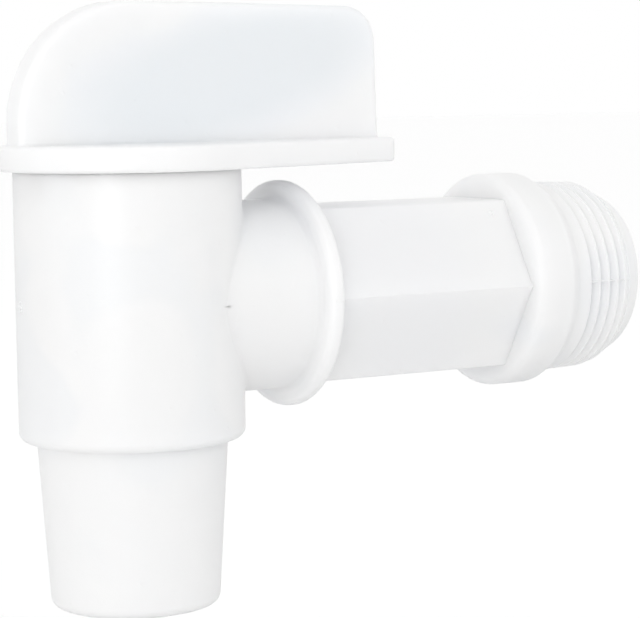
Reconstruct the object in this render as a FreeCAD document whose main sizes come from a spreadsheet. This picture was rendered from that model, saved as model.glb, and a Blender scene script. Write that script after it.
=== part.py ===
"""Quarter-turn drum faucet: a moulded body with a threaded inlet, and a lever moulded on a hollow plug.

Millimetres, +Z up. The origin is on the inlet axis, in the plain land before the thread, and +X points into
the container.
Each piece is drawn about the crossing of the barrel axis and the inlet axis and then moved to its place.
"""
import FreeCAD, Part
import math
import os

import Sketcher

# Driving dimensions, by the piece that they belong to
SIZES = {
    # Plug and barrel
    "plug_radius": (11.2, "outside of the plug"),
    "plug_clearance": (0.05, "running fit of the plug in the barrel, on the radius"),
    "plug_wall": (3.0, "wall of the hollow plug"),
    "plug_end_gap": (0.3, "plug's lower end above the barrel floor"),
    "plug_ceiling": (3.5, "solid head of the plug below the lever plate"),
    "port_radius": (7.0, "side port of the plug and mouth of the inlet into the barrel"),
    "barrel_wall": (3.2, "wall of the barrel around the plug"),
    "barrel_floor": (2.5, "step between the barrel's foot and the plug's seat"),
    "barrel_depth": (17.25, "barrel's foot below the inlet axis"),
    "barrel_foot_round": (1.2, "rounded lower edge of the barrel"),
    "bore_mouth_chamfer": (0.7, "lead-in at the top of the barrel"),
    # Spout
    "spout_length": (21.4, "spout below the barrel's foot"),
    "plug_seat_width": (2.65, "ledge below the plug, which leaves the waterway of the spout"),
    "spout_lip_wall": (2.2, "wall at the lip"),
    "spout_root_wall": (3.6, "wall at the root, so that a hose wedges on"),
    "spout_lip_round": (1.2, "rounded outer edge of the lip"),
    # Seals and snap bead on the plug
    "ring_section": (1.5, "thickness of each O-ring as fitted"),
    "ring_gland_width": (2.0, "width of an O-ring groove"),
    "ring_ease": (0.04, "O-ring clear of its groove and of the barrel"),
    "ring_spacing": (2.4, "O-ring centres above and below the port's edge"),
    "bead_spacing": (2.6, "snap bead above the upper O-ring"),
    "bead_height": (0.45, "snap bead proud of the plug"),
    "bead_half_width": (0.7, "half the width of the snap bead"),
    "bead_clearance": (0.25, "snap groove around the bead"),
    "rim_height": (4.95, "barrel's rim above the snap bead"),
    # Quarter-turn stop
    "lug_depth": (2.7, "stop lug below the lever plate"),
    "lug_rise": (1.8, "stop lug proud of the plug"),
    "lug_angle": (36.0, "angle of the stop lug"),
    "lug_clearance": (0.3, "stop lug clear of its notch"),
    "stop_ease_angle": (1.5, "angle left between lug and notch at each end of the turn"),
    "turn_angle": (90.0, "turn of the lever from open to closed"),
    # Neck, flange and hexagon of the inlet
    "thread_wall": (4.585, "crest of the thread to the waterway of the inlet"),
    "orifice_length": (5.8, "narrow mouth of the waterway, from the plug's bore"),
    "neck_wall": (3.75, "wall of the round neck"),
    "neck_length": (6.65, "neck between the barrel and the flange"),
    "barrel_neck_round": (1.0, "fillet between barrel and neck"),
    "neck_round": (0.8, "fillet between neck and flange"),
    "flange_rise": (2.4, "flange proud of the neck"),
    "flange_thickness": (2.2, "thickness of the flange"),
    "flange_round": (0.9, "rounded edges of the flange"),
    "hexagon_wall": (2.6, "wall at the flats of the hexagon"),
    "hexagon_edge_round": (0.5, "rounded edges of the hexagon"),
    # Collar and threaded end
    "seat_to_barrel": (62.4, "origin on the plain land to the barrel axis"),
    "land_back": (1.0, "start of the plain land behind the origin"),
    "collar_length": (7.7, "collar and its shoulder"),
    "collar_rise": (1.629, "collar proud of the hexagon's corners"),
    "collar_rim_round": (1.3, "rounded back edge of the collar"),
    "shoulder_run": (1.9, "slope from the collar down to the thread"),
    "shoulder_round": (1.1, "rounding at both ends of that slope"),
    "thread_radius": (13.335, "crest of the pipe thread at its large end"),
    "thread_land": (1.6, "plain land before the thread"),
    "thread_pitch": (1.6, "ridge to ridge"),
    "thread_fall": (0.2, "fall of the crests from the land to the lead-in"),
    "thread_length": (11.85, "land, thread and lead-in"),
    "lead_in_length": (4.0, "sloped end of the thread"),
    "lead_in_drop": (2.0, "fall of the crests over the lead-in"),
    # Lever
    "plate_gap": (0.1, "lever plate above the barrel's rim"),
    "plate_thickness": (3.2, "lever plate"),
    "plate_overhang": (2.05, "round end of the plate beyond the barrel"),
    "plate_edge_round": (0.5, "rounded edges of the plate"),
    "nose_reach": (37.9, "nose of the plate from the barrel axis"),
    "nose_half_width": (5.4, "half the width of the nose"),
    "nose_round": (2.5, "corners of the nose"),
    "wing_thickness": (4.9, "upright wing"),
    "wing_height": (18.2, "wing above the plate, at its back end"),
    "wing_fall": (0.9, "fall of the wing's top edge towards the nose"),
    "wing_back_inset": (0.95, "wing inside the plate's round end"),
    "wing_front_inset": (1.6, "wing behind the plate's nose"),
    "wing_set_back": (0.5, "wing's front edge further back at its top"),
    "wing_back_round": (15.4, "large upper corner"),
    "wing_front_round": (4.6, "small upper corner"),
    "wing_edge_round": (0.8, "rounded edges of the wing"),
    "wing_root_round": (0.4, "fillet between wing and plate"),
}
SHEET = "Sizes"
FULL_TURN = 360
HEXAGON_HALF_ANGLE = 30
# Form of the thread groove, in pitches
THREAD_DEPTH = 0.72
THREAD_ROOT_HALF = 0.04
THREAD_MOUTH_HALF = 0.485
THREAD_OVERSHOOT = 0.05
NEAR = 1e-4


class Size:
    """A length that knows its value and the sheet expression that drives it."""

    def __init__(self, value, text):
        self.value = value
        self.text = text

    def __add__(self, other):
        return Size(self.value + other.value, f"({self.text} + {other.text})")

    def __sub__(self, other):
        return Size(self.value - other.value, f"({self.text} - {other.text})")

    def __neg__(self):
        return Size(-self.value, f"(-1 * {self.text})")

    def __mul__(self, factor):
        return Size(self.value * factor, f"({self.text} * {factor})")

    def half(self):
        return Size(self.value / 2, f"({self.text} / 2)")


def make_sheet(doc):
    """Write the driving dimensions into the sheet and return them as Size values by name."""
    sheet = doc.addObject("Spreadsheet::Sheet", SHEET)
    sizes = {}
    for row, (name, (value, meaning)) in enumerate(SIZES.items(), start=1):
        sheet.set(f"A{row}", meaning)
        sheet.set(f"B{row}", str(value))
        sheet.setAlias(f"B{row}", name)
        sizes[name] = Size(value, f"{SHEET}.{name}")
    doc.recompute()
    return sizes


def new_body(doc, label, size):
    """Add a body whose own origin is the crossing of the barrel axis and the inlet axis."""
    body = doc.addObject("PartDesign::Body", label)
    body.Label = label
    body.setExpression("Placement.Base.x", (-size["seat_to_barrel"]).text)
    return body


def attach(sketch, body, role):
    """Lay a sketch on one of its body's origin planes."""
    for feature in body.Origin.OriginFeatures:
        if feature.Role == role:
            sketch.AttachmentSupport = [(feature, "")]
            sketch.MapMode = "FlatFace"


def place_point(sketch, geometry, end, across, up):
    """Tie one sketch point to the sheet by its two coordinates."""
    for kind, size in (("DistanceX", across), ("DistanceY", up)):
        if abs(size.value) < NEAR:
            axis = -2 if kind == "DistanceX" else -1
            sketch.addConstraint(Sketcher.Constraint("PointOnObject", geometry, end, axis))
            continue
        index = sketch.addConstraint(Sketcher.Constraint(kind, -1, 1, geometry, end, size.value))
        sketch.setExpression(f"Constraints[{index}]", size.text)


def outline(body, name, role, corners):
    """Sketch a closed outline of straight lines through corners given as pairs of Size values."""
    sketch = body.newObject("Sketcher::SketchObject", name)
    attach(sketch, body, role)
    points = [FreeCAD.Vector(across.value, up.value, 0) for across, up in corners]
    count = len(points)
    for index in range(count):
        sketch.addGeometry(Part.LineSegment(points[index], points[(index + 1) % count]), False)
    for index in range(count):
        sketch.addConstraint(Sketcher.Constraint("Coincident", index, 2, (index + 1) % count, 1))
    for index, (across, up) in enumerate(corners):
        place_point(sketch, index, 1, across, up)
    return sketch


def circle(body, name, role, radius):
    """Sketch a circle about the body's origin."""
    sketch = body.newObject("Sketcher::SketchObject", name)
    attach(sketch, body, role)
    sketch.addGeometry(Part.Circle(FreeCAD.Vector(0, 0, 0), FreeCAD.Vector(0, 0, 1), radius.value), False)
    sketch.addConstraint(Sketcher.Constraint("Coincident", 0, 3, -1, 1))
    index = sketch.addConstraint(Sketcher.Constraint("Radius", 0, radius.value))
    sketch.setExpression(f"Constraints[{index}]", radius.text)
    return sketch


def turned(body, name, kind, sketch, axis, sweep=None):
    """Turn a sketch about one of its own axes, all the way round or through a sweep centred on the sketch."""
    feature = body.newObject(f"PartDesign::{kind}", name)
    feature.Profile = sketch
    feature.ReferenceAxis = (sketch, [axis])
    feature.Angle = FULL_TURN
    if sweep is not None:
        feature.Midplane = True
        feature.setExpression("Angle", sweep.text)
    return feature


def rounded(body, name, base, edges, radius):
    """Round the chosen edges of a feature."""
    feature = body.newObject("PartDesign::Fillet", name)
    feature.Base = (base, edges)
    feature.setExpression("Radius", radius.text)
    return feature


def edges_where(feature, test):
    """Names of the edges of a feature that pass a test."""
    return [f"Edge{index}" for index, edge in enumerate(feature.Shape.Edges, start=1) if test(edge)]


def ring_at(radius, height, axis):
    """Test for a circular edge of a given radius about the barrel (z) or the inlet (x) at a given place."""
    def test(edge):
        curve = edge.Curve
        if curve.TypeId != "Part::GeomCircle":
            return False
        centre = getattr(curve.Center, axis)
        along = abs(getattr(curve.Axis, axis)) > 1 - NEAR
        return along and abs(curve.Radius - radius.value) < NEAR and abs(centre - height.value) < NEAR
    return test


def stack(size):
    """Work out the heights and radii that pieces share."""
    shared = {}
    shared["zero"] = Size(0.0, "0")
    shared["bore"] = size["plug_radius"] + size["plug_clearance"]
    shared["barrel"] = shared["bore"] + size["barrel_wall"]
    shared["seat"] = size["barrel_floor"] - size["barrel_depth"]
    shared["upper_ring"] = size["port_radius"] + size["ring_spacing"]
    shared["bead"] = shared["upper_ring"] + size["bead_spacing"]
    shared["rim"] = shared["bead"] + size["rim_height"]
    shared["plate_foot"] = shared["rim"] + size["plate_gap"]
    shared["plate_top"] = shared["plate_foot"] + size["plate_thickness"]
    shared["lug_foot"] = shared["plate_foot"] - size["lug_depth"]
    shared["lug_radius"] = size["plug_radius"] + size["lug_rise"]
    shared["gland_radius"] = size["plug_radius"] - size["ring_section"] - size["ring_ease"]
    shared["spout_bore"] = shared["bore"] - size["plug_seat_width"]
    shared["inlet_bore"] = size["thread_radius"] - size["thread_wall"]
    shared["neck"] = shared["inlet_bore"] + size["neck_wall"]
    shared["flange"] = shared["neck"] + size["flange_rise"]
    shared["flange_back"] = shared["barrel"] + size["neck_length"]
    shared["flange_front"] = shared["flange_back"] + size["flange_thickness"]
    shared["half_flats"] = shared["inlet_bore"] + size["hexagon_wall"]
    shared["hexagon_corner"] = shared["half_flats"] * (1 / math.cos(math.radians(HEXAGON_HALF_ANGLE)))
    shared["collar"] = shared["hexagon_corner"] + size["collar_rise"]
    shared["land"] = size["seat_to_barrel"] - size["land_back"]
    shared["collar_back"] = shared["land"] - size["collar_length"]
    shared["collar_front"] = shared["land"] - size["shoulder_run"]
    shared["inlet_end"] = shared["land"] + size["thread_length"]
    return shared


def add_barrel(body, size, at):
    """Barrel and tapered spout, turned about the barrel axis."""
    spout_root = at["spout_bore"] + size["spout_root_wall"]
    spout_lip = at["spout_bore"] + size["spout_lip_wall"]
    foot = -size["barrel_depth"]
    lip = foot - size["spout_length"]
    profile = outline(body, "barrel_profile", "XZ_Plane", [
        (at["zero"], at["rim"]),
        (at["barrel"], at["rim"]),
        (at["barrel"], foot),
        (spout_root, foot),
        (spout_lip, lip),
        (at["zero"], lip),
    ])
    barrel = turned(body, "barrel", "Revolution", profile, "V_Axis")
    body.Document.recompute()
    foot_edge = edges_where(barrel, ring_at(at["barrel"], foot, "z"))
    foot_round = rounded(body, "barrel_foot_round", barrel, foot_edge, size["barrel_foot_round"])
    body.Document.recompute()
    lip_edge = edges_where(foot_round, ring_at(spout_lip, lip, "z"))
    rounded(body, "spout_lip_round", foot_round, lip_edge, size["spout_lip_round"])


def add_neck(body, size, at):
    """Round neck and flange, turned about the inlet axis."""
    profile = outline(body, "neck_profile", "XZ_Plane", [
        (at["zero"], at["zero"]),
        (at["zero"], at["neck"]),
        (at["flange_back"], at["neck"]),
        (at["flange_back"], at["flange"]),
        (at["flange_front"], at["flange"]),
        (at["flange_front"], at["zero"]),
    ])
    neck = turned(body, "neck", "Revolution", profile, "H_Axis")
    body.Document.recompute()

    def joins_barrel(edge):
        middle = edge.valueAt((edge.FirstParameter + edge.LastParameter) / 2)
        on_barrel = abs(math.hypot(middle.x, middle.y) - at["barrel"].value) < NEAR
        return on_barrel and abs(math.hypot(middle.y, middle.z) - at["neck"].value) < NEAR

    join = edges_where(neck, joins_barrel)
    join_round = rounded(body, "barrel_neck_round", neck, join, size["barrel_neck_round"])
    body.Document.recompute()
    root = edges_where(join_round, ring_at(at["neck"], at["flange_back"], "x"))
    root_round = rounded(body, "neck_round", join_round, root, size["neck_round"])
    body.Document.recompute()
    rims = edges_where(root_round, ring_at(at["flange"], at["flange_back"], "x"))
    rims += edges_where(root_round, ring_at(at["flange"], at["flange_front"], "x"))
    rounded(body, "flange_round", root_round, rims, size["flange_round"])


def add_hexagon(body, size, at):
    """Hexagon for a wrench between flange and collar, flats up and down, parting edge at the sides."""
    corner = at["hexagon_corner"]
    half_side = corner.half()
    profile = outline(body, "hexagon_profile", "YZ_Plane", [
        (corner, at["zero"]),
        (half_side, at["half_flats"]),
        (-half_side, at["half_flats"]),
        (-corner, at["zero"]),
        (-half_side, -at["half_flats"]),
        (half_side, -at["half_flats"]),
    ])
    profile.setExpression("AttachmentOffset.Base.z", at["flange_front"].text)
    hexagon = body.newObject("PartDesign::Pad", "hexagon")
    hexagon.Profile = profile
    hexagon.setExpression("Length", (at["collar_back"] - at["flange_front"]).text)
    body.Document.recompute()

    def long_corner(edge):
        ends = [vertex.Point for vertex in edge.Vertexes]
        if edge.Curve.TypeId != "Part::GeomLine" or len(ends) < 2:
            return False
        along_inlet = abs(ends[0].y - ends[1].y) < NEAR and abs(ends[0].z - ends[1].z) < NEAR
        return along_inlet and abs(math.hypot(ends[0].y, ends[0].z) - corner.value) < NEAR

    rounded(body, "hexagon_round", hexagon, edges_where(hexagon, long_corner), size["hexagon_edge_round"])


def add_threaded_end(body, size, at):
    """Collar, sloped shoulder, plain land, tapered stub for the thread and lead-in, turned about the inlet."""
    land_end = at["land"] + size["thread_land"]
    lead_in = at["inlet_end"] - size["lead_in_length"]
    crest_end = size["thread_radius"] - size["thread_fall"]
    profile = outline(body, "threaded_end_profile", "XZ_Plane", [
        (at["collar_back"], at["zero"]),
        (at["collar_back"], at["collar"]),
        (at["collar_front"], at["collar"]),
        (at["land"], size["thread_radius"]),
        (land_end, size["thread_radius"]),
        (lead_in, crest_end),
        (at["inlet_end"], crest_end - size["lead_in_drop"]),
        (at["inlet_end"], at["zero"]),
    ])
    end = turned(body, "threaded_end", "Revolution", profile, "H_Axis")
    body.Document.recompute()
    rim = edges_where(end, ring_at(at["collar"], at["collar_back"], "x"))
    rim_round = rounded(body, "collar_rim_round", end, rim, size["collar_rim_round"])
    body.Document.recompute()
    slope = edges_where(rim_round, ring_at(at["collar"], at["collar_front"], "x"))
    slope += edges_where(rim_round, ring_at(size["thread_radius"], at["land"], "x"))
    rounded(body, "shoulder_round", rim_round, slope, size["shoulder_round"])


def cut_thread(body, size, at):
    """Helical groove that leaves the ridges of the thread and runs out over the lead-in."""
    pitch = size["thread_pitch"]
    land_end = at["land"] + size["thread_land"]
    start = land_end + pitch * THREAD_MOUTH_HALF
    root = size["thread_radius"] - pitch * THREAD_DEPTH
    mouth = size["thread_radius"] + pitch * THREAD_OVERSHOOT
    profile = outline(body, "thread_profile", "XZ_Plane", [
        (start - pitch * THREAD_MOUTH_HALF, mouth),
        (start + pitch * THREAD_MOUTH_HALF, mouth),
        (start + pitch * THREAD_ROOT_HALF, root),
        (start - pitch * THREAD_ROOT_HALF, root),
    ])
    groove = body.newObject("PartDesign::SubtractiveHelix", "thread")
    groove.Profile = profile
    groove.ReferenceAxis = (profile, ["H_Axis"])
    groove.Mode = "pitch-height-angle"
    groove.setExpression("Pitch", pitch.text)
    groove.setExpression("Height", (size["thread_length"] - size["thread_land"]).text)
    groove.Tolerance = NEAR
    body.Document.recompute()


def cut_waterways(body, size, at):
    """Bore for the plug with its snap groove, waterways of spout and inlet, and notch for the stop lug."""
    lip = -size["barrel_depth"] - size["spout_length"]
    groove_radius = size["plug_radius"] + size["bead_height"] + size["bead_clearance"]
    groove_half = size["bead_half_width"] + size["bead_clearance"]
    mouth = at["bore"] + size["bore_mouth_chamfer"]
    bore_profile = outline(body, "bore_profile", "XZ_Plane", [
        (at["zero"], at["rim"]),
        (mouth, at["rim"]),
        (at["bore"], at["rim"] - size["bore_mouth_chamfer"]),
        (at["bore"], at["bead"] + groove_half),
        (groove_radius, at["bead"] + groove_half - size["bead_height"]),
        (groove_radius, at["bead"] - groove_half + size["bead_height"]),
        (at["bore"], at["bead"] - groove_half),
        (at["bore"], at["seat"]),
        (at["spout_bore"], at["seat"]),
        (at["spout_bore"], lip),
        (at["zero"], lip),
    ])
    turned(body, "plug_bore", "Groove", bore_profile, "V_Axis")
    orifice_end = at["bore"] + size["orifice_length"]
    inlet_profile = outline(body, "inlet_bore_profile", "XZ_Plane", [
        (at["zero"], at["zero"]),
        (at["zero"], size["port_radius"]),
        (orifice_end, size["port_radius"]),
        (orifice_end, at["inlet_bore"]),
        (at["inlet_end"], at["inlet_bore"]),
        (at["inlet_end"], at["zero"]),
    ])
    turned(body, "inlet_bore", "Groove", inlet_profile, "H_Axis")
    notch_radius = at["lug_radius"] + size["lug_clearance"]
    notch_foot = at["lug_foot"] - size["lug_clearance"]
    notch_profile = outline(body, "stop_notch_profile", "XZ_Plane", [
        (-size["plug_radius"], at["rim"]),
        (-notch_radius, at["rim"]),
        (-notch_radius, notch_foot),
        (-size["plug_radius"], notch_foot),
    ])
    middle_of_turn = -size["turn_angle"].half()
    turn = FreeCAD.Rotation(FreeCAD.Vector(0, 1, 0), middle_of_turn.value)
    notch_profile.AttachmentOffset = FreeCAD.Placement(FreeCAD.Vector(0, 0, 0), turn)
    notch_profile.setExpression("AttachmentOffset.Rotation.Angle", middle_of_turn.text)
    notch_sweep = size["turn_angle"] + size["lug_angle"] + size["stop_ease_angle"] * 2
    turned(body, "stop_notch", "Groove", notch_profile, "V_Axis", notch_sweep)


def build_body(doc, size, at):
    """The faucet body, one moulding from thread to spout."""
    body = new_body(doc, "faucet_body", size)
    add_barrel(body, size, at)
    add_neck(body, size, at)
    add_hexagon(body, size, at)
    add_threaded_end(body, size, at)
    cut_thread(body, size, at)
    cut_waterways(body, size, at)
    return body


def add_plate(body, size, at):
    """Lever plate: a round end about the barrel axis that narrows in straight sides to a squared nose."""
    end_radius = at["barrel"] + size["plate_overhang"]
    corner = size["nose_round"]
    corner_x = size["nose_reach"] - corner
    corner_y = size["nose_half_width"] - corner
    sketch = body.newObject("Sketcher::SketchObject", "plate_profile")
    attach(sketch, body, "XY_Plane")
    sketch.setExpression("AttachmentOffset.Base.z", at["plate_foot"].text)
    span = math.hypot(corner_x.value, corner_y.value)
    tilt = math.atan2(corner_y.value, corner_x.value)
    tangent = tilt + math.acos((end_radius.value - corner.value) / span)
    centre = FreeCAD.Vector(0, 0, 0)
    upward = FreeCAD.Vector(0, 0, 1)
    left = FreeCAD.Vector(corner_x.value, corner_y.value, 0)
    right = FreeCAD.Vector(corner_x.value, -corner_y.value, 0)

    def arc(middle, radius, start, stop):
        return Part.ArcOfCircle(Part.Circle(middle, upward, radius), start, stop)

    round_end = arc(centre, end_radius.value, tangent, 2 * math.pi - tangent)
    left_corner = arc(left, corner.value, 0, tangent)
    right_corner = arc(right, corner.value, -tangent, 0)
    far_side = Part.LineSegment(left_corner.EndPoint, round_end.StartPoint)
    near_side = Part.LineSegment(round_end.EndPoint, right_corner.StartPoint)
    nose = Part.LineSegment(right_corner.EndPoint, left_corner.StartPoint)
    for geometry in (round_end, near_side, right_corner, nose, left_corner, far_side):
        sketch.addGeometry(geometry, False)
    joins = ((0, 2, 1, 1), (1, 2, 2, 1), (2, 2, 3, 1), (3, 2, 4, 1), (4, 2, 5, 1), (5, 2, 0, 1))
    for join in joins:
        sketch.addConstraint(Sketcher.Constraint("Tangent", *join))
    sketch.addConstraint(Sketcher.Constraint("Coincident", 0, 3, -1, 1))
    for geometry, radius in ((0, end_radius), (2, corner), (4, corner)):
        index = sketch.addConstraint(Sketcher.Constraint("Radius", geometry, radius.value))
        sketch.setExpression(f"Constraints[{index}]", radius.text)
    place_point(sketch, 4, 3, corner_x, corner_y)
    place_point(sketch, 2, 3, corner_x, -corner_y)
    plate = body.newObject("PartDesign::Pad", "plate")
    plate.Profile = sketch
    plate.setExpression("Length", size["plate_thickness"].text)
    body.Document.recompute()

    def level_edge(edge):
        heights = [vertex.Point.z for vertex in edge.Vertexes]
        return max(heights) - min(heights) < NEAR

    rounded(body, "plate_round", plate, edges_where(plate, level_edge), size["plate_edge_round"])
    body.Document.recompute()


def add_wing(body, size, at):
    """Upright wing along the plate, with a large corner at its back and a small one at its front."""
    back = -(at["barrel"] + size["plate_overhang"] - size["wing_back_inset"])
    front = size["nose_reach"] - size["wing_front_inset"]
    back_top = at["plate_top"] + size["wing_height"]
    root = at["plate_top"] - size["plate_thickness"].half()
    profile = outline(body, "wing_profile", "XZ_Plane", [
        (back, root),
        (front, root),
        (front - size["wing_set_back"], back_top - size["wing_fall"]),
        (back, back_top),
    ])
    wing = body.newObject("PartDesign::Pad", "wing")
    wing.Profile = profile
    wing.Midplane = True
    wing.setExpression("Length", size["wing_thickness"].text)
    body.Document.recompute()

    def upper_corner(height):
        def test(edge):
            ends = [vertex.Point for vertex in edge.Vertexes]
            if len(ends) != 2 or abs(ends[0].x - ends[1].x) > NEAR:
                return False
            return all(abs(point.z - height.value) < NEAR for point in ends)
        return test

    back_corner = edges_where(wing, upper_corner(back_top))
    back_round = rounded(body, "wing_back_round", wing, back_corner, size["wing_back_round"])
    body.Document.recompute()
    front_corner = edges_where(back_round, upper_corner(back_top - size["wing_fall"]))
    front_round = rounded(body, "wing_front_round", back_round, front_corner, size["wing_front_round"])
    body.Document.recompute()
    half = size["wing_thickness"].half()

    def face_edge(edge):
        ends = [vertex.Point for vertex in edge.Vertexes]
        on_face = all(abs(abs(point.y) - half.value) < NEAR for point in ends)
        return on_face and max(point.z for point in ends) > at["plate_top"].value + NEAR

    face_edges = edges_where(front_round, face_edge)
    edge_round = rounded(body, "wing_edge_round", front_round, face_edges, size["wing_edge_round"])
    body.Document.recompute()

    def root_edge(edge):
        points = [edge.valueAt(edge.FirstParameter), edge.valueAt(edge.LastParameter)]
        level = all(abs(point.z - at["plate_top"].value) < NEAR for point in points)
        return level and all(abs(point.y) < half.value + NEAR for point in points)

    rounded(body, "wing_root_round", edge_round, edges_where(edge_round, root_edge), size["wing_root_round"])
    body.Document.recompute()


def add_plug(body, size, at):
    """Hollow plug below the plate, with its snap bead, O-ring grooves, side port and stop lug."""
    inner = size["plug_radius"] - size["plug_wall"]
    foot = at["seat"] + size["plug_end_gap"]
    ceiling = at["plate_foot"] - size["plug_ceiling"]
    bead_radius = size["plug_radius"] + size["bead_height"]
    bead_land = size["bead_half_width"] - size["bead_height"]
    plug_profile = outline(body, "plug_profile", "XZ_Plane", [
        (at["zero"], ceiling),
        (inner, ceiling),
        (inner, foot),
        (size["plug_radius"], foot),
        (size["plug_radius"], at["bead"] - size["bead_half_width"]),
        (bead_radius, at["bead"] - bead_land),
        (bead_radius, at["bead"] + bead_land),
        (size["plug_radius"], at["bead"] + size["bead_half_width"]),
        (size["plug_radius"], at["plate_foot"]),
        (at["zero"], at["plate_foot"]),
    ])
    turned(body, "plug", "Revolution", plug_profile, "V_Axis")
    half_gland = size["ring_gland_width"].half()
    for name, height in (("upper_gland", at["upper_ring"]), ("lower_gland", -at["upper_ring"])):
        gland_profile = outline(body, f"{name}_profile", "XZ_Plane", [
            (at["gland_radius"], height - half_gland),
            (at["bore"], height - half_gland),
            (at["bore"], height + half_gland),
            (at["gland_radius"], height + half_gland),
        ])
        turned(body, name, "Groove", gland_profile, "V_Axis")
    port = body.newObject("PartDesign::Pocket", "side_port")
    port.Profile = circle(body, "port_profile", "YZ_Plane", size["port_radius"])
    port.Reversed = True
    port.setExpression("Length", at["barrel"].text)
    lug_profile = outline(body, "stop_lug_profile", "XZ_Plane", [
        (-inner, at["plate_foot"]),
        (-at["lug_radius"], at["plate_foot"]),
        (-at["lug_radius"], at["lug_foot"]),
        (-inner, at["lug_foot"]),
    ])
    turned(body, "stop_lug", "Revolution", lug_profile, "V_Axis", size["lug_angle"])


def build_lever(doc, size, at):
    """The lever and its plug, one moulding."""
    body = new_body(doc, "lever_plug", size)
    add_plate(body, size, at)
    add_wing(body, size, at)
    add_plug(body, size, at)
    return body


def build_ring(doc, label, size, at, height):
    """An O-ring in its groove on the plug, as thick as the space that it fills."""
    ring = doc.addObject("Part::Torus", label)
    ring.Label = label
    ring.setExpression("Radius1", (at["gland_radius"] + size["ring_ease"] + size["ring_section"].half()).text)
    ring.setExpression("Radius2", (size["ring_section"].half()).text)
    ring.setExpression("Placement.Base.x", (-size["seat_to_barrel"]).text)
    ring.setExpression("Placement.Base.z", height.text)
    return ring


def check_document(doc, pieces):
    """Stop if a feature failed or a piece is not one valid solid."""
    for feature in doc.Objects:
        if "Invalid" in feature.State or "Error" in feature.State:
            raise RuntimeError(f"{feature.Label} failed to build: {feature.State}")
    for piece in pieces:
        shape = piece.Shape
        if shape.isNull() or not shape.isValid() or len(shape.Solids) != 1:
            raise RuntimeError(f"{piece.Label} is not one valid solid")


def main():
    doc = FreeCAD.newDocument("drum_faucet")
    size = make_sheet(doc)
    at = stack(size)
    pieces = [
        build_body(doc, size, at),
        build_lever(doc, size, at),
        build_ring(doc, "upper_o_ring", size, at, at["upper_ring"]),
        build_ring(doc, "lower_o_ring", size, at, -at["upper_ring"]),
    ]
    doc.recompute()
    check_document(doc, pieces)
    os.makedirs("parts", exist_ok=True)
    for piece in pieces:
        piece.Shape.exportStep(f"parts/{piece.Label}.step")
        box = piece.Shape.BoundBox
        print(f"{piece.Label}: {piece.Shape.Volume:.1f} mm3, x {box.XMin:.2f} to {box.XMax:.2f},"
              f" y {box.YMin:.2f} to {box.YMax:.2f}, z {box.ZMin:.2f} to {box.ZMax:.2f}")


main()
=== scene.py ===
"""Looks of a moulded drum faucet: milky polyethylene and the marks that its mould left."""
import logging
import math
from dataclasses import dataclass
from enum import Enum

import bpy
from mathutils import Matrix, Vector


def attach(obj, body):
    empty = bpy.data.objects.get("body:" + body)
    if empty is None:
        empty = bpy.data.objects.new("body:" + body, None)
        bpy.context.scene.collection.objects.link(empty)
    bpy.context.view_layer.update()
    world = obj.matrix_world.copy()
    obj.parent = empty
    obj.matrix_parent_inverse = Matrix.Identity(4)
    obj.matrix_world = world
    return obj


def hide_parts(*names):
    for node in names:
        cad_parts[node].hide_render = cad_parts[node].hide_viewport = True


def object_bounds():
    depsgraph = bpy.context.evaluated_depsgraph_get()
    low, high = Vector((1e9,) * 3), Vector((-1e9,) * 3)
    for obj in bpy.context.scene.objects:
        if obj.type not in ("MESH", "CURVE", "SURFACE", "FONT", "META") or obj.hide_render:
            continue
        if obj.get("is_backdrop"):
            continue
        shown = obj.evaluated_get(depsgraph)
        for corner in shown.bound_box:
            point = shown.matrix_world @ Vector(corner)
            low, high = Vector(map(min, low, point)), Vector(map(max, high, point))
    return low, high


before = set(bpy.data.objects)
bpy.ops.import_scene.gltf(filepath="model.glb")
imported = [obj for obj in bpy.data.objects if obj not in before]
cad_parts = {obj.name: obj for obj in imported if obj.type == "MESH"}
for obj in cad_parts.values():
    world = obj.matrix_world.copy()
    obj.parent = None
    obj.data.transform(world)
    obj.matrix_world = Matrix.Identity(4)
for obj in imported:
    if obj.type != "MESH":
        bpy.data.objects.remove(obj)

LOG = logging.getLogger("drum_faucet")
MERGE_DISTANCE = 2e-6


class Slot(Enum):
    """Material slots of the record."""

    BODY = "body_plastic"
    LEVER = "lever_plastic"
    SEAL = "seal_rubber"


class Rider(Enum):
    """Bodies that new pieces ride on."""

    BODY = "body"


class Join(Enum):
    """Ways to work one closed mesh into another."""

    ADD = "UNION"
    CUT = "DIFFERENCE"


def deselect_all() -> None:
    """Leave edit mode and deselect everything."""
    if bpy.context.object is not None and bpy.context.object.mode != "OBJECT":
        bpy.ops.object.mode_set(mode="OBJECT")
    bpy.ops.object.select_all(action="DESELECT")


def activate(piece: bpy.types.Object) -> None:
    """Make a piece the only selected one and the active one.

    Args:
        piece: The mesh object that the next operators work on.
    """
    deselect_all()
    piece.select_set(True)
    bpy.context.view_layer.objects.active = piece


def apply_modifier(piece: bpy.types.Object, kind: str, **settings: object) -> None:
    """Add a modifier to a piece and apply it at once.

    Args:
        piece: The mesh object that changes.
        kind: Blender's name of the modifier type.
        settings: Properties of the modifier.
    """
    activate(piece)
    modifier = piece.modifiers.new(kind.title(), kind)
    for name, value in settings.items():
        setattr(modifier, name, value)
    bpy.ops.object.modifier_apply(modifier=modifier.name)


def close_and_turn_out(piece: bpy.types.Object) -> None:
    """Merge doubles, fill open ends and turn all faces outwards.

    Args:
        piece: The mesh object that changes.
    """
    activate(piece)
    bpy.ops.object.mode_set(mode="EDIT")
    bpy.ops.mesh.select_all(action="SELECT")
    bpy.ops.mesh.remove_doubles(threshold=MERGE_DISTANCE)
    bpy.ops.mesh.fill_holes(sides=0)
    bpy.ops.mesh.normals_make_consistent(inside=False)
    bpy.ops.object.mode_set(mode="OBJECT")


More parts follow.
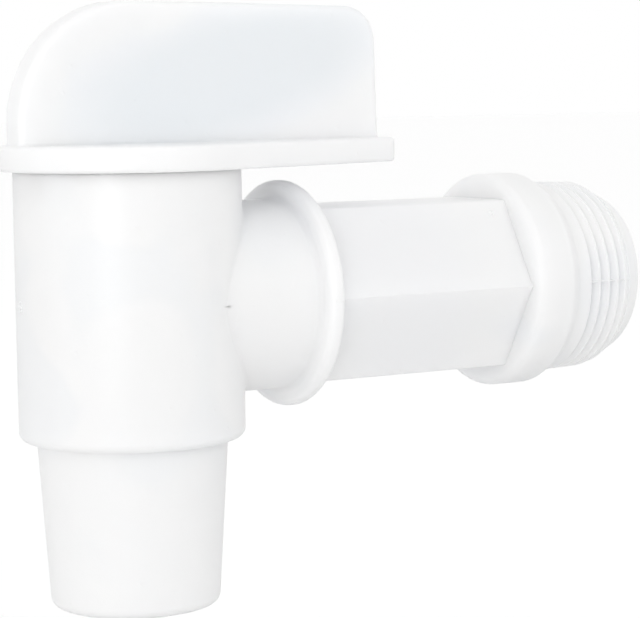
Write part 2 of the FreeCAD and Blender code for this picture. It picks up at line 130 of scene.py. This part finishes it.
def merged_copy(node: str, name: str) -> bpy.types.Object:
    """Copy a solid's mesh into a new piece and merge its loose triangles.

    Args:
        node: The solid's name.
        name: The new piece's name.

    Returns:
        The copy, with no parent and plain normals.
    """
    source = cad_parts[node]
    piece = bpy.data.objects.new(name, source.data.copy())
    bpy.context.scene.collection.objects.link(piece)
    activate(piece)
    bpy.ops.mesh.customdata_custom_splitnormals_clear()
    bpy.ops.object.mode_set(mode="EDIT")
    bpy.ops.mesh.select_all(action="SELECT")
    bpy.ops.mesh.remove_doubles(threshold=MERGE_DISTANCE)
    bpy.ops.object.mode_set(mode="OBJECT")
    return piece


def combine(piece: bpy.types.Object, other: bpy.types.Object, way: Join) -> None:
    """Work another closed mesh into a piece as one skin, and remove the other.

    Args:
        piece: The mesh object that changes.
        other: The mesh object that is added or cut out.
        way: Whether it is added or cut out.
    """
    apply_modifier(piece, "BOOLEAN", operation=way.value, solver="EXACT", object=other)
    bpy.data.objects.remove(other)


class SkinGroup:
    """Shared shader group of a moulded skin: cloudy resin, flow streaks, fine grain and stray specks."""

    NAME = "moulded_skin"
    INPUTS = {"Cloud Scale": 60.0, "Streak Scale": 220.0, "Grain Scale": 2600.0, "Speck Scale": 260.0}
    OUTPUTS = ("Cloud", "Streak", "Grain", "Speck")
    STREAK_STRETCH = (0.12, 1.0, 0.35)
    PIT_RIM = (0.03, 0.07)

    def __init__(self) -> None:
        """Build the group once."""
        self.tree = bpy.data.node_groups.new(self.NAME, "ShaderNodeTree")
        for name, value in self.INPUTS.items():
            socket = self.tree.interface.new_socket(name, in_out="INPUT", socket_type="NodeSocketFloat")
            socket.default_value = value
        for name in self.OUTPUTS:
            self.tree.interface.new_socket(name, in_out="OUTPUT", socket_type="NodeSocketFloat")
        nodes, links = self.tree.nodes, self.tree.links
        self.given = nodes.new("NodeGroupInput")
        self.result = nodes.new("NodeGroupOutput")
        self.place = nodes.new("ShaderNodeTexCoord")
        place = self.place.outputs["Object"]
        cloud = self.noise(place, "Cloud Scale", detail=1.0, roughness=0.4, distortion=0.6)
        links.new(cloud, self.result.inputs["Cloud"])
        links.new(self.noise(self.along(), "Streak Scale", detail=3.0), self.result.inputs["Streak"])
        links.new(self.noise(place, "Grain Scale", detail=2.0, roughness=0.6), self.result.inputs["Grain"])
        links.new(self.speck(), self.result.inputs["Speck"])

    def noise(
        self, place: bpy.types.NodeSocket, scale: str, detail: float,
        roughness: float = 0.5, distortion: float = 0.0,
    ) -> bpy.types.NodeSocket:
        """Add noise at the scale of one of the group's inputs.

        Args:
            place: The coordinates.
            scale: The input's name.
            detail: Finer layers of the noise.
            roughness: Share of each finer layer.
            distortion: How far the noise is pulled about.

        Returns:
            The noise.
        """
        node = self.tree.nodes.new("ShaderNodeTexNoise")
        node.inputs["Detail"].default_value = detail
        node.inputs["Roughness"].default_value = roughness
        node.inputs["Distortion"].default_value = distortion
        self.tree.links.new(place, node.inputs["Vector"])
        self.tree.links.new(self.given.outputs[scale], node.inputs["Scale"])
        return node.outputs["Fac"]

    def along(self) -> bpy.types.NodeSocket:
        """Draw the coordinates out along the inlet, the way that the resin ran in.

        Returns:
            The drawn-out coordinates.
        """
        drawn = self.tree.nodes.new("ShaderNodeMapping")
        drawn.inputs["Scale"].default_value = self.STREAK_STRETCH
        self.tree.links.new(self.place.outputs["Object"], drawn.inputs["Vector"])
        return drawn.outputs["Vector"]

    def speck(self) -> bpy.types.NodeSocket:
        """Scatter small pits, few and far between.

        Returns:
            A mask that is 1 in a pit.
        """
        cells = self.tree.nodes.new("ShaderNodeTexVoronoi")
        cells.inputs["Randomness"].default_value = 1.0
        near = self.tree.nodes.new("ShaderNodeMapRange")
        near.inputs["From Min"].default_value, near.inputs["From Max"].default_value = self.PIT_RIM
        near.inputs["To Min"].default_value = 1.0
        near.inputs["To Max"].default_value = 0.0
        self.tree.links.new(self.place.outputs["Object"], cells.inputs["Vector"])
        self.tree.links.new(self.given.outputs["Speck Scale"], cells.inputs["Scale"])
        self.tree.links.new(cells.outputs["Distance"], near.inputs["Value"])
        return near.outputs["Result"]


@dataclass(frozen=True)
class PaintedShade:
    """Painted shade: a patch painted greyer and bluer, strongest at its centre, for the light that a thin
    wall lets through.
    """

    colour: tuple[float, float, float]
    centre: tuple[float, float, float]
    span: tuple[float, float, float]
    tilt: float = 0.0
    plateau: float = 0.6

    def mask(self, material: bpy.types.Material) -> bpy.types.NodeSocket:
        """Add nodes that fade the painted shade from 1 at its centre to 0 at its span.

        Args:
            material: The material that gets the nodes.

        Returns:
            The mask.
        """
        nodes, links = material.node_tree.nodes, material.node_tree.links
        place = nodes.new("ShaderNodeTexCoord")
        fit = nodes.new("ShaderNodeMapping")
        fit.vector_type = "TEXTURE"
        fit.inputs["Location"].default_value = self.centre
        fit.inputs["Rotation"].default_value = (0.0, math.radians(-self.tilt), 0.0)
        fit.inputs["Scale"].default_value = self.span
        fade = nodes.new("ShaderNodeTexGradient")
        fade.gradient_type = "SPHERICAL"
        soft = nodes.new("ShaderNodeMapRange")
        soft.interpolation_type = "SMOOTHSTEP"
        soft.inputs["From Max"].default_value = self.plateau
        links.new(place.outputs["Object"], fit.inputs["Vector"])
        links.new(fit.outputs["Vector"], fade.inputs["Vector"])
        links.new(fade.outputs["Fac"], soft.inputs["Value"])
        return soft.outputs["Result"]


@dataclass(frozen=True)
class MilkyPlastic:
    """Natural polyethylene, slightly see-through and satin."""

    name: str
    clear: tuple[float, float, float]
    dense: tuple[float, float, float]
    painted_shade: PaintedShade
    cloud_from: float = 0.38
    cloud_to: float = 0.62
    roughness: float = 0.34
    roughness_spread: float = 0.10
    grain_height: float = 0.000012
    streak_height: float = 0.00002
    pit_height: float = 0.00003
    refraction: float = 1.5
    scatter: float = 0.9
    scatter_depth: float = 0.002

    def material(self, skin: SkinGroup) -> bpy.types.Material:
        """Build the material.

        Args:
            skin: The shared group of moulded skin.

        Returns:
            The finished material.
        """
        made = bpy.data.materials.new(self.name)
        made.use_nodes = True
        nodes = made.node_tree.nodes
        shader = nodes["Principled BSDF"]
        group = nodes.new("ShaderNodeGroup")
        group.node_tree = skin.tree
        self.colour(made, group, shader)
        self.relief(made, group, shader)
        shader.inputs["IOR"].default_value = self.refraction
        shader.inputs["Subsurface Weight"].default_value = self.scatter
        shader.inputs["Subsurface Scale"].default_value = self.scatter_depth
        shader.inputs["Subsurface Radius"].default_value = (1.0, 1.0, 1.0)
        return made

    def colour(self, made: bpy.types.Material, group: bpy.types.Node, shader: bpy.types.Node) -> None:
        """Cloud the resin, paint shade on its thin wall in a greyer, bluer tone and let the flow streaks
        change its gloss.

        Args:
            made: The material that gets the nodes.
            group: The moulded skin in that material.
            shader: The material's shader.
        """
        nodes, links = made.node_tree.nodes, made.node_tree.links
        patches = nodes.new("ShaderNodeMapRange")
        patches.interpolation_type = "SMOOTHSTEP"
        patches.inputs["From Min"].default_value = self.cloud_from
        patches.inputs["From Max"].default_value = self.cloud_to
        links.new(group.outputs["Cloud"], patches.inputs["Value"])
        tone = nodes.new("ShaderNodeMix")
        tone.data_type = "RGBA"
        tone.inputs["A"].default_value = (*self.clear, 1.0)
        tone.inputs["B"].default_value = (*self.dense, 1.0)
        links.new(patches.outputs["Result"], tone.inputs["Factor"])
        # Painted shade: a greyer, bluer tone mixed in where the wall is thin, strongest at the patch's
        # middle.
        shaded_tone = nodes.new("ShaderNodeMix")
        shaded_tone.data_type = "RGBA"
        shaded_tone.inputs["B"].default_value = (*self.painted_shade.colour, 1.0)
        links.new(self.painted_shade.mask(made), shaded_tone.inputs["Factor"])
        links.new(tone.outputs["Result"], shaded_tone.inputs["A"])
        links.new(shaded_tone.outputs["Result"], shader.inputs["Base Color"])
        gloss = nodes.new("ShaderNodeMapRange")
        gloss.inputs["To Min"].default_value = self.roughness - self.roughness_spread
        gloss.inputs["To Max"].default_value = self.roughness + self.roughness_spread
        links.new(group.outputs["Streak"], gloss.inputs["Value"])
        links.new(gloss.outputs["Result"], shader.inputs["Roughness"])

    def relief(self, made: bpy.types.Material, group: bpy.types.Node, shader: bpy.types.Node) -> None:
        """Raise the flow streaks and the grain of the mould and sink a few pits.

        Args:
            made: The material that gets the nodes.
            group: The moulded skin in that material.
            shader: The material's shader.
        """
        nodes, links = made.node_tree.nodes, made.node_tree.links
        flow = nodes.new("ShaderNodeBump")
        flow.inputs["Distance"].default_value = self.streak_height
        links.new(group.outputs["Streak"], flow.inputs["Height"])
        pits = nodes.new("ShaderNodeBump")
        pits.invert = True
        pits.inputs["Distance"].default_value = self.pit_height
        links.new(group.outputs["Speck"], pits.inputs["Height"])
        links.new(flow.outputs["Normal"], pits.inputs["Normal"])
        grain = nodes.new("ShaderNodeBump")
        grain.inputs["Distance"].default_value = self.grain_height
        links.new(group.outputs["Grain"], grain.inputs["Height"])
        links.new(pits.outputs["Normal"], grain.inputs["Normal"])
        links.new(grain.outputs["Normal"], shader.inputs["Normal"])


@dataclass(frozen=True)
class SealRubber:
    """Black moulded rubber of the O-rings."""

    name: str = "seal_rubber_black"
    colour: tuple[float, float, float] = (0.025, 0.025, 0.027)
    bloom: tuple[float, float, float] = (0.06, 0.06, 0.062)
    roughness: float = 0.55

    def material(self, skin: SkinGroup) -> bpy.types.Material:
        """Build the material.

        Args:
            skin: The shared group of moulded skin.

        Returns:
            The finished material.
        """
        made = bpy.data.materials.new(self.name)
        made.use_nodes = True
        nodes, links = made.node_tree.nodes, made.node_tree.links
        shader = nodes["Principled BSDF"]
        group = nodes.new("ShaderNodeGroup")
        group.node_tree = skin.tree
        tone = nodes.new("ShaderNodeMix")
        tone.data_type = "RGBA"
        tone.inputs["A"].default_value = (*self.colour, 1.0)
        tone.inputs["B"].default_value = (*self.bloom, 1.0)
        links.new(group.outputs["Cloud"], tone.inputs["Factor"])
        links.new(tone.outputs["Result"], shader.inputs["Base Color"])
        shader.inputs["Roughness"].default_value = self.roughness
        return made


@dataclass(frozen=True)
class Fin:
    """Flash along the parting plane: stations along the inlet and how far out it reaches at each."""

    name: str
    stations: tuple[tuple[float, float], ...]

    def reach(self, x: float) -> float:
        """Read the fin's reach between its stations.

        Args:
            x: The place along the inlet.

        Returns:
            The distance from the inlet's axis.
        """
        for (x0, r0), (x1, r1) in zip(self.stations, self.stations[1:]):
            if x <= x1:
                return r0 + (r1 - r0) * (x - x0) / (x1 - x0)
        return self.stations[-1][1]


@dataclass
class MouldMarks:
    """Traces that the mould left on the body, in metres in the part's frame."""

    flash_width: float = 0.00022
    flash_root: float = 0.0009
    flash_bevel: float = 0.00004
    flash_segments: int = 2
    wire: float = 0.00013
    wire_segments: int = 16
    ring_segments: int = 32
    hexagon: Fin = Fin("hexagon_flash", ((-0.0393, 0.01319), (-0.0084, 0.01319)))
    thread: Fin = Fin("thread_flash", ((0.0003, 0.01322), (0.0068, 0.01292), (0.0094, 0.01190)))
    flange: Fin = Fin("flange_flash", ((-0.0407, 0.01493), (-0.0397, 0.01493)))
    pin_place: tuple[float, float, float] = (-0.01156, -0.00750, 0.00971)
    pin_radius: float = 0.00036
    pin_slope: float = 30.0
    barrel_place: float = -0.0624
    barrel_radius: float = 0.01445
    gate_angle: float = 174.5
    gate_height: float = 0.00025
    gate_ring: float = 0.00062
    gate_radius: float = 0.0003
    gate_depth: float = 0.0007
    gate_bevel: float = 0.0001
    gate_segments: int = 3
    nick_angle: float = -60.2
    nick_length: float = 0.0013
    nick_depths: tuple[float, float] = (0.00007, 0.0001)
    nick_segments: int = 24

    def fin(self, shape: Fin, side: int) -> bpy.types.Object:
        """Stretch a bar along one side of the body and bring its outer edge to the fin's reach.

        Args:
            shape: The fin's stations.
            side: -1 for the near side of the inlet, 1 for the far side.

        Returns:
            The closed fin.
        """
        deselect_all()
        first, last = shape.stations[0][0], shape.stations[-1][0]
        bpy.ops.mesh.primitive_cube_add(size=1.0)
        bar = bpy.context.object
        bar.name = shape.name
        bar.scale = (last - first, self.flash_root, self.flash_width)
        bar.location = ((first + last) / 2, 0.0, 0.0)
        bpy.ops.object.transform_apply(location=True, rotation=True, scale=True)
        bpy.ops.object.mode_set(mode="EDIT")
        for x, _ in shape.stations[1:-1]:
            bpy.ops.mesh.select_all(action="SELECT")
            bpy.ops.mesh.bisect(plane_co=(x, 0.0, 0.0), plane_no=(1.0, 0.0, 0.0))
        bpy.ops.object.mode_set(mode="OBJECT")
        for vertex in bar.data.vertices:
            inset = 0.0 if vertex.co.y * side > 0 else self.flash_root
            vertex.co.y = side * (shape.reach(vertex.co.x) - inset)
        close_and_turn_out(bar)
        apply_modifier(bar, "BEVEL", width=self.flash_bevel, segments=self.flash_segments)
        return bar

    def outward(self, angle: float) -> Vector:
        """Direction out of the barrel at an angle in degrees from the inlet."""
        return Vector((math.cos(math.radians(angle)), math.sin(math.radians(angle)), 0.0))

    def on_barrel(self, angle: float, height: float) -> Vector:
        """Place on the barrel's skin.

        Args:
            angle: Degrees around the barrel from the inlet.
            height: Metres above the inlet's axis.

        Returns:
            The place.
        """
        return Vector((self.barrel_place, 0.0, height)) + self.outward(angle) * self.barrel_radius

    def ring_mark(self, name: str, place: Vector, outward: Vector, radius: float) -> bpy.types.Object:
        """Press the small ring of a pin or a gate into the skin.

        Args:
            name: The ring's name.
            place: Its centre.
            outward: The direction out of the skin.
            radius: The ring's radius.

        Returns:
            The closed ring.
        """
        deselect_all()
        bpy.ops.mesh.primitive_torus_add(
            major_radius=radius, minor_radius=self.wire,
            major_segments=self.ring_segments, minor_segments=self.wire_segments,
            location=place, rotation=outward.to_track_quat("Z", "Y").to_euler(),
        )
        mark = bpy.context.object
        mark.name = name
        bpy.ops.object.transform_apply(location=True, rotation=True, scale=True)
        return mark

    def gate_stub(self) -> bpy.types.Object:
        """Leave the broken end of the gate on the barrel, opposite the inlet.

        Returns:
            The closed stub.
        """
        deselect_all()
        bpy.ops.mesh.primitive_cylinder_add(
            vertices=self.ring_segments, radius=self.gate_radius, depth=self.gate_depth,
            location=self.on_barrel(self.gate_angle, self.gate_height),
            rotation=self.outward(self.gate_angle).to_track_quat("Z", "Y").to_euler(),
        )
        stub = bpy.context.object
        stub.name = "gate_stub"
        bpy.ops.object.transform_apply(location=True, rotation=True, scale=True)
        apply_modifier(stub, "BEVEL", width=self.gate_bevel, segments=self.gate_segments)
        return stub

    def nick(self) -> bpy.types.Object:
        """Shape the cutter of the short nick beside the neck, which deepens towards the neck.

        Returns:
            The closed cutter.
        """
        deselect_all()
        along = Vector((0.0, 0.0, 1.0)).cross(self.outward(self.nick_angle))
        shallow, deep = self.nick_depths
        bpy.ops.mesh.primitive_cone_add(
            vertices=self.nick_segments, radius1=shallow, radius2=deep, depth=self.nick_length,
            location=self.on_barrel(self.nick_angle, 0.0),
            rotation=along.to_track_quat("Z", "Y").to_euler(),
        )
        cutter = bpy.context.object
        cutter.name = "nick_cutter"
        bpy.ops.object.transform_apply(location=True, rotation=True, scale=True)
        return cutter

    def raised(self) -> list[bpy.types.Object]:
        """Model the marks that stand proud.

        Returns:
            Closed pieces to add to the body.
        """
        fins = (self.hexagon, self.thread, self.flange)
        pieces = [self.fin(shape, side) for shape in fins for side in (-1, 1)]
        slope = math.radians(self.pin_slope)
        upper_flat = Vector((0.0, -math.cos(slope), math.sin(slope)))
        pieces.append(self.ring_mark("pin_mark", Vector(self.pin_place), upper_flat, self.pin_radius))
        gate = self.on_barrel(self.gate_angle, self.gate_height)
        pieces.append(self.ring_mark("gate_ring", gate, self.outward(self.gate_angle), self.gate_ring))
        pieces.append(self.gate_stub())
        return pieces


@dataclass
class FaucetBody:
    """The body moulding with the marks of its mould."""

    node: str = "faucet_body"
    smooth_angle: float = math.radians(32)

    def build(self) -> bpy.types.Object:
        """Copy the solid as one skin and work the mould's marks into it.

        Returns:
            The dressed body's mesh object.
        """
        piece = merged_copy(self.node, "faucet_body_moulding")
        marks = MouldMarks()
        for mark in marks.raised():
            combine(piece, mark, Join.ADD)
        combine(piece, marks.nick(), Join.CUT)
        activate(piece)
        bpy.ops.object.shade_smooth_by_angle(angle=self.smooth_angle)
        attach(piece, Rider.BODY.value)
        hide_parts(self.node)
        return piece

    def dress(self, piece: bpy.types.Object, material: bpy.types.Material) -> None:
        """Give the moulding its finish."""
        piece.data.materials.clear()
        piece.data.materials.append(material)


@dataclass(frozen=True)
class KeptSolids:
    """Solids that stay as they are and only get a finish."""

    nodes: tuple[str, ...]

    def pieces(self) -> list[bpy.types.Object]:
        """List the solids' mesh objects."""
        return [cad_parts[node] for node in self.nodes]

    def dress(self, material: bpy.types.Material) -> None:
        """Give the solids their finish."""
        for piece in self.pieces():
            piece.material_slots[0].material = material


@dataclass(frozen=True)
class SoftLamp:
    """Square soft lamp: degrees left of the camera and above the horizon, side in metres and watts."""

    name: str
    left: float
    height: float
    size: float
    power: float


@dataclass
class Studio:
    """Camera at the photograph's angle, white floor and soft light, in metres and degrees."""

    yaw: float = 30.87
    pitch: float = 5.63
    roll: float = -0.76
    pivot: tuple[float, float, float] = (-0.0344, 0.0, 0.0)
    offset: tuple[float, float, float] = (-0.00016, 0.00251, 0.30379)
    focal_pixels: float = 2275.2
    image_width: int = 640
    sensor_width: float = 36.0
    near_clip: float = 0.01
    floor_drop: float = 0.008
    floor_size: float = 8.0
    floor_tone: float = 0.83
    floor_roughness: float = 0.7
    floor_glow: float = 0.27
    front_left: float = 0.0
    front_height: float = 5.0
    front_light: float = 0.63
    back_light: float = 1.0
    lamp_distance: float = 0.8
    lamps: tuple[SoftLamp, ...] = (
        SoftLamp("key_lamp", left=15.0, height=4.0, size=0.3, power=1.25),
        SoftLamp("fill_lamp", left=-36.0, height=26.0, size=0.6, power=1.0),
        SoftLamp("side_lamp", left=65.0, height=15.0, size=0.6, power=0.65),
    )

    def build_camera(self) -> None:
        """Place the camera as it was fitted to the photograph's outline."""
        yaw, pitch, roll = (math.radians(angle) for angle in (self.yaw, self.pitch, self.roll))
        right = Vector((math.cos(yaw), -math.sin(yaw), 0.0))
        level = math.cos(pitch)
        forward = Vector((math.sin(yaw) * level, math.cos(yaw) * level, -math.sin(pitch)))
        up = right.cross(forward)
        turned_right = right * math.cos(roll) + up * math.sin(roll)
        turned_up = up * math.cos(roll) - right * math.sin(roll)
        across, above, ahead = self.offset
        place = Vector(self.pivot) - turned_right * across - turned_up * above - forward * ahead
        data = bpy.data.cameras.new("photo_camera")
        data.sensor_fit = "HORIZONTAL"
        data.sensor_width = self.sensor_width
        data.lens = self.focal_pixels * self.sensor_width / self.image_width
        data.clip_start = self.near_clip
        camera = bpy.data.objects.new("photo_camera", data)
        bpy.context.scene.collection.objects.link(camera)
        axes = Matrix((turned_right, turned_up, -forward)).transposed().to_4x4()
        camera.matrix_world = Matrix.Translation(place) @ axes
        bpy.context.scene.camera = camera

    def build_floor(self) -> None:
        """Lay a pale floor below the spout."""
        deselect_all()
        low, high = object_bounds()
        middle = (low + high) / 2
        place = (middle.x, middle.y, low.z - self.floor_drop)
        bpy.ops.mesh.primitive_plane_add(size=self.floor_size, location=place)
        floor = bpy.context.object
        floor.name = "floor"
        material = bpy.data.materials.new("floor_white")
        material.use_nodes = True
        nodes, links = material.node_tree.nodes, material.node_tree.links
        shader = nodes["Principled BSDF"]
        shader.inputs["Base Color"].default_value = (self.floor_tone, self.floor_tone, self.floor_tone, 1.0)
        shader.inputs["Roughness"].default_value = self.floor_roughness
        shader.inputs["Emission Color"].default_value = (1.0, 1.0, 1.0, 1.0)
        rays = nodes.new("ShaderNodeLightPath")
        seen = nodes.new("ShaderNodeMath")
        seen.operation = "MULTIPLY"
        seen.inputs[1].default_value = self.floor_glow
        links.new(rays.outputs["Is Camera Ray"], seen.inputs[0])
        links.new(seen.outputs["Value"], shader.inputs["Emission Strength"])
        floor.data.materials.append(material)
        floor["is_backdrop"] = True

    def build_world(self) -> None:
        """Give the eye a white surround and the object soft light, weaker on the camera's side."""
        world = bpy.data.worlds.new("white_studio")
        world.use_nodes = True
        bpy.context.scene.world = world
        nodes, links = world.node_tree.nodes, world.node_tree.links
        background = nodes["Background"]
        background.inputs["Color"].default_value = (1.0, 1.0, 1.0, 1.0)
        rays = nodes.new("ShaderNodeLightPath")
        direct = nodes.new("ShaderNodeMath")
        direct.operation = "MAXIMUM"
        links.new(rays.outputs["Is Camera Ray"], direct.inputs[0])
        links.new(rays.outputs["Is Glossy Ray"], direct.inputs[1])
        seen = nodes.new("ShaderNodeMath")
        seen.operation = "MAXIMUM"
        links.new(direct.outputs["Value"], seen.inputs[0])
        links.new(rays.outputs["Is Transmission Ray"], seen.inputs[1])
        heading = nodes.new("ShaderNodeTexCoord")
        facing = nodes.new("ShaderNodeVectorMath")
        facing.operation = "DOT_PRODUCT"
        facing.inputs[1].default_value = self.direction(self.front_left, self.front_height)
        links.new(heading.outputs["Generated"], facing.inputs[0])
        light = nodes.new("ShaderNodeMapRange")
        light.inputs["From Min"].default_value = -1.0
        light.inputs["To Min"].default_value = self.back_light
        light.inputs["To Max"].default_value = self.front_light
        links.new(facing.outputs["Value"], light.inputs["Value"])
        level = nodes.new("ShaderNodeMix")
        level.inputs["B"].default_value = 1.0
        links.new(seen.outputs["Value"], level.inputs["Factor"])
        links.new(light.outputs["Result"], level.inputs["A"])
        links.new(level.outputs["Result"], background.inputs["Strength"])

    def direction(self, left: float, height: float) -> Vector:
        """Unit vector from the object towards a lamp.

        Args:
            left: Degrees to the left of the camera, seen from the object.
            height: Degrees above the horizon.

        Returns:
            The direction.
        """
        heading = math.radians(self.yaw + left)
        rise = math.radians(height)
        level = math.cos(rise)
        return Vector((-math.sin(heading) * level, -math.cos(heading) * level, math.sin(rise)))

    def build_lamp(self, lamp: SoftLamp) -> None:
        """Hang a soft lamp and aim it at the object.

        Args:
            lamp: Its place, size and power.
        """
        data = bpy.data.lights.new(lamp.name, "AREA")
        data.size = lamp.size
        data.energy = lamp.power
        hung = bpy.data.objects.new(lamp.name, data)
        bpy.context.scene.collection.objects.link(hung)
        towards = self.direction(lamp.left, lamp.height)
        hung.location = Vector(self.pivot) + towards * self.lamp_distance
        hung.rotation_euler = (-towards).to_track_quat("-Z", "Y").to_euler()

    def build(self) -> None:
        """Set up camera, floor, surround and lamps."""
        bpy.context.scene.view_settings.view_transform = "Standard"
        self.build_camera()
        self.build_floor()
        self.build_world()
        for lamp in self.lamps:
            self.build_lamp(lamp)


def main() -> None:
    """Build and dress the faucet and its studio."""
    logging.basicConfig(level=logging.INFO)
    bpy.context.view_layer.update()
    skin = SkinGroup()
    # Painted shade on the hollow inlet tube: greyer and bluer, darkest at its middle and fading out towards
    # its ends.
    hollow_painted_shade = PaintedShade(colour=(0.905, 0.908, 0.922), centre=(-0.0265, 0.0, 0.0), span=(0.024, 0.03, 0.03))
    # Painted shade on the middle of the thin wing: greyer and bluer, fading out towards its edges.
    wing_painted_shade = PaintedShade(
        colour=(0.836, 0.860, 0.880), centre=(-0.049, 0.0, 0.0288), span=(0.034, 0.02, 0.0112), tilt=14.0,
    )
    body_finish = MilkyPlastic(
        "milky_polyethylene_body", clear=(0.970, 0.969, 0.965), dense=(0.904, 0.911, 0.926), painted_shade=hollow_painted_shade,
    )
    lever_finish = MilkyPlastic(
        "milky_polyethylene_lever", clear=(0.955, 0.957, 0.966), dense=(0.918, 0.922, 0.940), painted_shade=wing_painted_shade,
    )
    finishes = {
        Slot.BODY: body_finish.material(skin),
        Slot.LEVER: lever_finish.material(skin),
        Slot.SEAL: SealRubber().material(skin),
    }
    body = FaucetBody()
    moulding = body.build()
    body.dress(moulding, finishes[Slot.BODY])
    lever = KeptSolids(("lever_plug",))
    lever.dress(finishes[Slot.LEVER])
    seals = KeptSolids(("upper_o_ring", "lower_o_ring"))
    seals.dress(finishes[Slot.SEAL])
    for piece in (moulding, *lever.pieces(), *seals.pieces()):
        LOG.info("%s: %d faces", piece.name, len(piece.data.polygons))
    Studio().build()


if __name__ == "__main__":
    main()
